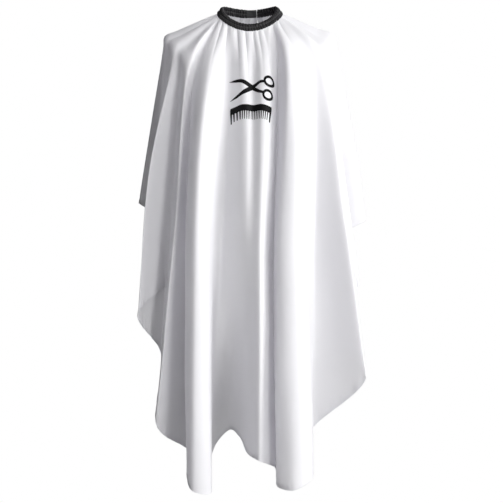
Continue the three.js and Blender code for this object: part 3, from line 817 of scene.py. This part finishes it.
def tab_face(angle):
    """How far the tab's inner face stands out from the band: flat on the tape, then up on to the snap."""
    t = np.clip((np.asarray(angle, float) - 161) / (177 - 161), 0, 1)
    rise = 1 - t * t * (3 - 2 * t)
    return TAB_SEWN_FACE + (TAB_FACE - TAB_SEWN_FACE) * rise

def tab_half_width(angle):
    """Half the tab's width, with a round free end."""
    into = np.clip((np.asarray(angle, float) - TAB_ANGLES[0]) / 6.5, 0, 1)
    return TAB_HALF_WIDTH * (0.25 + 0.75 * np.sqrt(1 - (1 - into) ** 2))

tab_material, tab_shader = new_material("white_tab_cloth", (0.86, 0.86, 0.87), 0.5)
woven(tab_material, tab_shader, 2400, 0.3, 30, (0.83, 0.83, 0.845), (0.89, 0.89, 0.9))
hinge_start = Vector(beside_band(float(TAB_ANGLES[1]), TAB_SEWN_FACE, 0.0))
hinge_end = Vector(beside_band(TAB_BEND_ANGLE, TAB_SEWN_FACE, 0.0))

def on_tab(piece):
    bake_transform(piece)

def tab_outside(angle):
    return tab_face(angle) + TAB_THICKNESS

tab = band_strip("snap_tab", TAB_ANGLES, tab_half_width, tab_face, tab_outside, tab_material, 110, 0.00008)
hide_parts("closure_tab")
on_tab(tab)
for number, down in enumerate((-0.0075, 0.0075)):
    strip_stitches(f"tab_stitches_{number}", (152, 182), down, tab_outside, thread_material, on_tab)

# ---------------------------------------------------------------------------
# Spring snap: nickel-plated brass. Three studs, each riveted through the stud
# tape by its post, and one socket riveted through the tab by its cap.
# ---------------------------------------------------------------------------
metal, metal_shader = new_material("nickel_plate", (0.66, 0.65, 0.63), 0.24)
metal_shader.inputs["Metallic"].default_value = 1.0
metal_tree = metal.node_tree
wear = metal_tree.nodes.new("ShaderNodeTexNoise")
wear.inputs["Scale"].default_value = 700
wear.inputs["Detail"].default_value = 6
wear_range = metal_tree.nodes.new("ShaderNodeMapRange")
wear_range.inputs["To Min"].default_value = 0.14
wear_range.inputs["To Max"].default_value = 0.42
metal_tree.links.new(wear.outputs["Fac"], wear_range.inputs["Value"])
metal_tree.links.new(wear_range.outputs["Result"], metal_shader.inputs["Roughness"])
fine_wear = metal_tree.nodes.new("ShaderNodeBump")
fine_wear.inputs["Distance"].default_value = 0.00002
fine_wear.inputs["Strength"].default_value = 0.4
metal_tree.links.new(wear.outputs["Fac"], fine_wear.inputs["Height"])
metal_tree.links.new(fine_wear.outputs["Normal"], metal_shader.inputs["Normal"])

def turned(name, outline, angle, base, node, body):
    """A turned piece with its axis out from the band; the outline is (radius, height) in millimetres."""
    sides = 72
    around = np.linspace(0, 2 * np.pi, sides, endpoint=False)
    profile = np.array(outline) * MM
    middle_line, face, low = band_frame(np.array([float(angle)]))
    aside = np.cross(face[0], low[0])
    ring = np.cos(around)[:, None] * aside + np.sin(around)[:, None] * low[0]
    origin = middle_line[0] + face[0] * base
    points = origin + ring[None] * profile[:, None, :1] + face[0] * profile[:, None, 1:]
    uv = np.stack(np.meshgrid(profile[:, 1], around * 0.005, indexing="ij"), -1)
    piece = grid_mesh(name, points, uv, metal, closed=True)
    piece.data.polygons.foreach_set("use_smooth", [True] * len(piece.data.polygons))
    corner = piece.modifiers.new("soft_corners", "EDGE_SPLIT")
    corner.split_angle = math.radians(40)
    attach(piece, body)
    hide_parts(node)
    return piece

STUD_ANGLES = (153, 139.5, 126)
POST_FACE = 0.00305
STUD_FACE = 0.00565
SOCKET_FACE = 0.00675
CAP_FACE = 0.01105
post = [
    (0.0001, 0), (2.9, 0), (3.15, 0.12), (3.2, 0.25), (3.15, 0.4), (3.0, 0.5), (1.2, 0.5), (1.2, 3.9), (0.0001, 3.9),
]
stud = [
    (0.0001, 1.6), (1.5, 1.6), (1.5, 0), (4.7, 0), (4.92, 0.08), (5.0, 0.22), (4.95, 0.4), (4.75, 0.5),
    (4.3, 0.52), (4.0, 0.62), (3.5, 0.72), (2.6, 0.8), (2.0, 0.82), (1.75, 0.95), (1.68, 1.2), (1.7, 1.5),
    (1.8, 1.85), (1.82, 2.1), (1.72, 2.35), (1.45, 2.52), (1.0, 2.6), (0.0001, 2.6),
]
for number, angle in enumerate(STUD_ANGLES, 1):
    turned(f"post_{number}", post, angle, POST_FACE, f"snap_post_{number}", "cape")
    turned(f"stud_{number}", stud, angle, STUD_FACE, f"snap_stud_{number}", "cape")
socket = [
    (2.5, 0.15), (2.6, 0.02), (2.8, 0), (4.5, 0), (4.8, 0.1), (4.98, 0.35), (5.0, 0.8), (4.9, 1.1), (4.6, 1.25),
    (4.55, 1.4), (4.9, 1.6), (5.0, 1.9), (5.0, 2.5), (4.9, 2.72), (4.7, 2.8), (1.5, 2.8), (1.5, 1.85), (2.5, 1.85),
    (2.5, 0.15),
]
turned("socket", socket, STUD_ANGLES[0], SOCKET_FACE, "snap_socket", "closure_tab")
cap = [
    (0.0001, -2.1), (1.2, -2.1), (1.2, 0), (5.6, 0), (5.88, 0.1), (6.0, 0.35), (5.92, 0.6), (5.65, 0.78), (5.3, 0.84),
    (5.15, 0.8), (5.0, 0.86), (4.4, 1.08), (3.4, 1.3), (2.2, 1.44), (1.0, 1.49), (0.0001, 1.5),
]
turned("cap", cap, STUD_ANGLES[0], CAP_FACE, "snap_cap", "closure_tab")

# ---------------------------------------------------------------------------
# Chest print: a black film, heat-pressed on the cloth, of a pair of scissors
# over a comb. It was pressed on the flat cloth, so it follows every fold.
# ---------------------------------------------------------------------------
def capsule(x0, y0, x1, y1, width0, width1):
    """A tapered bar between two points, as one four-sided face."""
    length = math.hypot(x1 - x0, y1 - y0)
    nx, ny = (y0 - y1) / length, (x1 - x0) / length
    return [
        (x0 + nx * width0 / 2, y0 + ny * width0 / 2), (x0 - nx * width0 / 2, y0 - ny * width0 / 2),
        (x1 - nx * width1 / 2, y1 - ny * width1 / 2), (x1 + nx * width1 / 2, y1 + ny * width1 / 2),
    ]

print_shapes = []
SCISSORS_Y = 0.15
for side in (1, -1):
    blade = [
        (-0.50, 0.150), (-0.34, 0.142), (-0.12, 0.094), (0.07, 0.034), (0.06, -0.026), (-0.03, -0.006), (-0.28, 0.078),
    ]
    print_shapes.append([(x, SCISSORS_Y + side * y) for x, y in blade])
    print_shapes.append(capsule(0.04, SCISSORS_Y, 0.20, SCISSORS_Y - side * 0.070, 0.062, 0.044))
    print_shapes.append(capsule(0.20, SCISSORS_Y - side * 0.070, 0.310, SCISSORS_Y - side * 0.088, 0.044, 0.038))
    ring_x, ring_y = 0.385, -side * 0.105
    turns = 28
    for k in range(turns):
        t0, t1 = (2 * math.pi * q / turns for q in (k, k + 1))
        print_shapes.append([
            (ring_x + rx * math.cos(t), SCISSORS_Y + ring_y + ry * math.sin(t))
            for t, rx, ry in ((t0, 0.110, 0.086), (t1, 0.110, 0.086), (t1, 0.068, 0.046), (t0, 0.068, 0.046))
        ])
print_shapes.append([
    (-0.49, -0.110), (0.49, -0.110), (0.50, -0.140), (0.50, -0.205), (-0.50, -0.205), (-0.50, -0.140),
])
tooth_x = -0.415
while tooth_x < 0.43:
    coarse = tooth_x < 0
    root_width, tip_width = (0.036, 0.020) if coarse else (0.024, 0.014)
    print_shapes.append(capsule(tooth_x, -0.203, tooth_x, -0.325, root_width, tip_width))
    tooth_x += 0.0640 if coarse else 0.0430
for end in (-1, 1):
    print_shapes.append(capsule(end * 0.478, -0.203, end * 0.482, -0.345, 0.042, 0.026))

chest = (np.abs(column_angle) < 34).nonzero()[0]
chest_rows = int(np.searchsorted(share, 0.4))
chest_cloth = cloth[chest[0]:chest[-1] + 1, :chest_rows]
chest_normals = normals[chest[0]:chest[-1] + 1, :chest_rows]
chest_flat = flat[chest[0]:chest[-1] + 1, :chest_rows]

def flat_under(x, z):
    """The flat position of the cloth that hangs at x, z on the chest."""
    off = (chest_cloth[..., 0] - x) ** 2 + (chest_cloth[..., 2] - z) ** 2
    return chest_flat[np.unravel_index(np.argmin(off), off.shape)]

print_left, print_right = flat_under(-0.060, -0.181), flat_under(0.068, -0.181)
print_middle = flat_under(0.002, -0.183)
print_width = 0.185
print_along = (print_right - print_left) / np.linalg.norm(print_right - print_left)
print_up = np.array([-print_along[1], print_along[0]])

drawn = bmesh.new()
for shape in print_shapes:
    drawn.faces.new([drawn.verts.new((x, y, 0)) for x, y in shape])
cell = 0.003 / print_width
for normal, reach in (((1, 0, 0), 0.56), ((0, 1, 0), 0.40)):
    for k in range(int(-reach / cell), int(reach / cell) + 1):
        everything = drawn.verts[:] + drawn.edges[:] + drawn.faces[:]
        bmesh.ops.bisect_plane(drawn, geom=everything, plane_co=Vector(normal) * k * cell, plane_no=normal)
n, m = chest_flat.shape[:2]
index = np.arange(n * m).reshape(n, m)
chest_quads = np.stack([index[:-1, :-1], index[1:, :-1], index[1:, 1:], index[:-1, 1:]], -1).reshape(-1, 4)
flat_points = [Vector((x, y, 0)) for x, y in chest_flat.reshape(-1, 2)]
flat_tree = BVHTree.FromPolygons(flat_points, chest_quads.tolist())
hung_points = (chest_cloth + chest_normals * 0.00032).reshape(-1, 3)
for vertex in drawn.verts:
    on_flat = print_middle + print_along * vertex.co.x * print_width + print_up * vertex.co.y * print_width * 0.86
    spot, _, quad, _ = flat_tree.find_nearest(Vector((*on_flat, 0)))
    corners = chest_quads[quad]
    parts = poly_3d_calc([flat_points[k] for k in corners], spot)
    vertex.co = Vector(sum(hung_points[k] * w for k, w in zip(corners, parts)))
print_mesh = bpy.data.meshes.new("scissors_and_comb")
drawn.to_mesh(print_mesh)
drawn.free()
print_mesh.polygons.foreach_set("use_smooth", [True] * len(print_mesh.polygons))
film_material, film_shader = new_material("heat_pressed_film", (0.004, 0.004, 0.0045), 0.55)
film_shader.inputs["Specular IOR Level"].default_value = 0.12
film_tree = film_material.node_tree
film_grain = film_tree.nodes.new("ShaderNodeTexNoise")
film_grain.inputs["Scale"].default_value = 1500
film_bump = film_tree.nodes.new("ShaderNodeBump")
film_bump.inputs["Distance"].default_value = 0.00005
film_bump.inputs["Strength"].default_value = 0.3
film_tree.links.new(film_grain.outputs["Fac"], film_bump.inputs["Height"])
film_tree.links.new(film_bump.outputs["Normal"], film_shader.inputs["Normal"])
print_mesh.materials.append(film_material)
chest_print = bpy.data.objects.new("scissors_and_comb", print_mesh)
scene.collection.objects.link(chest_print)
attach(chest_print, "cape")
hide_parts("chest_print")
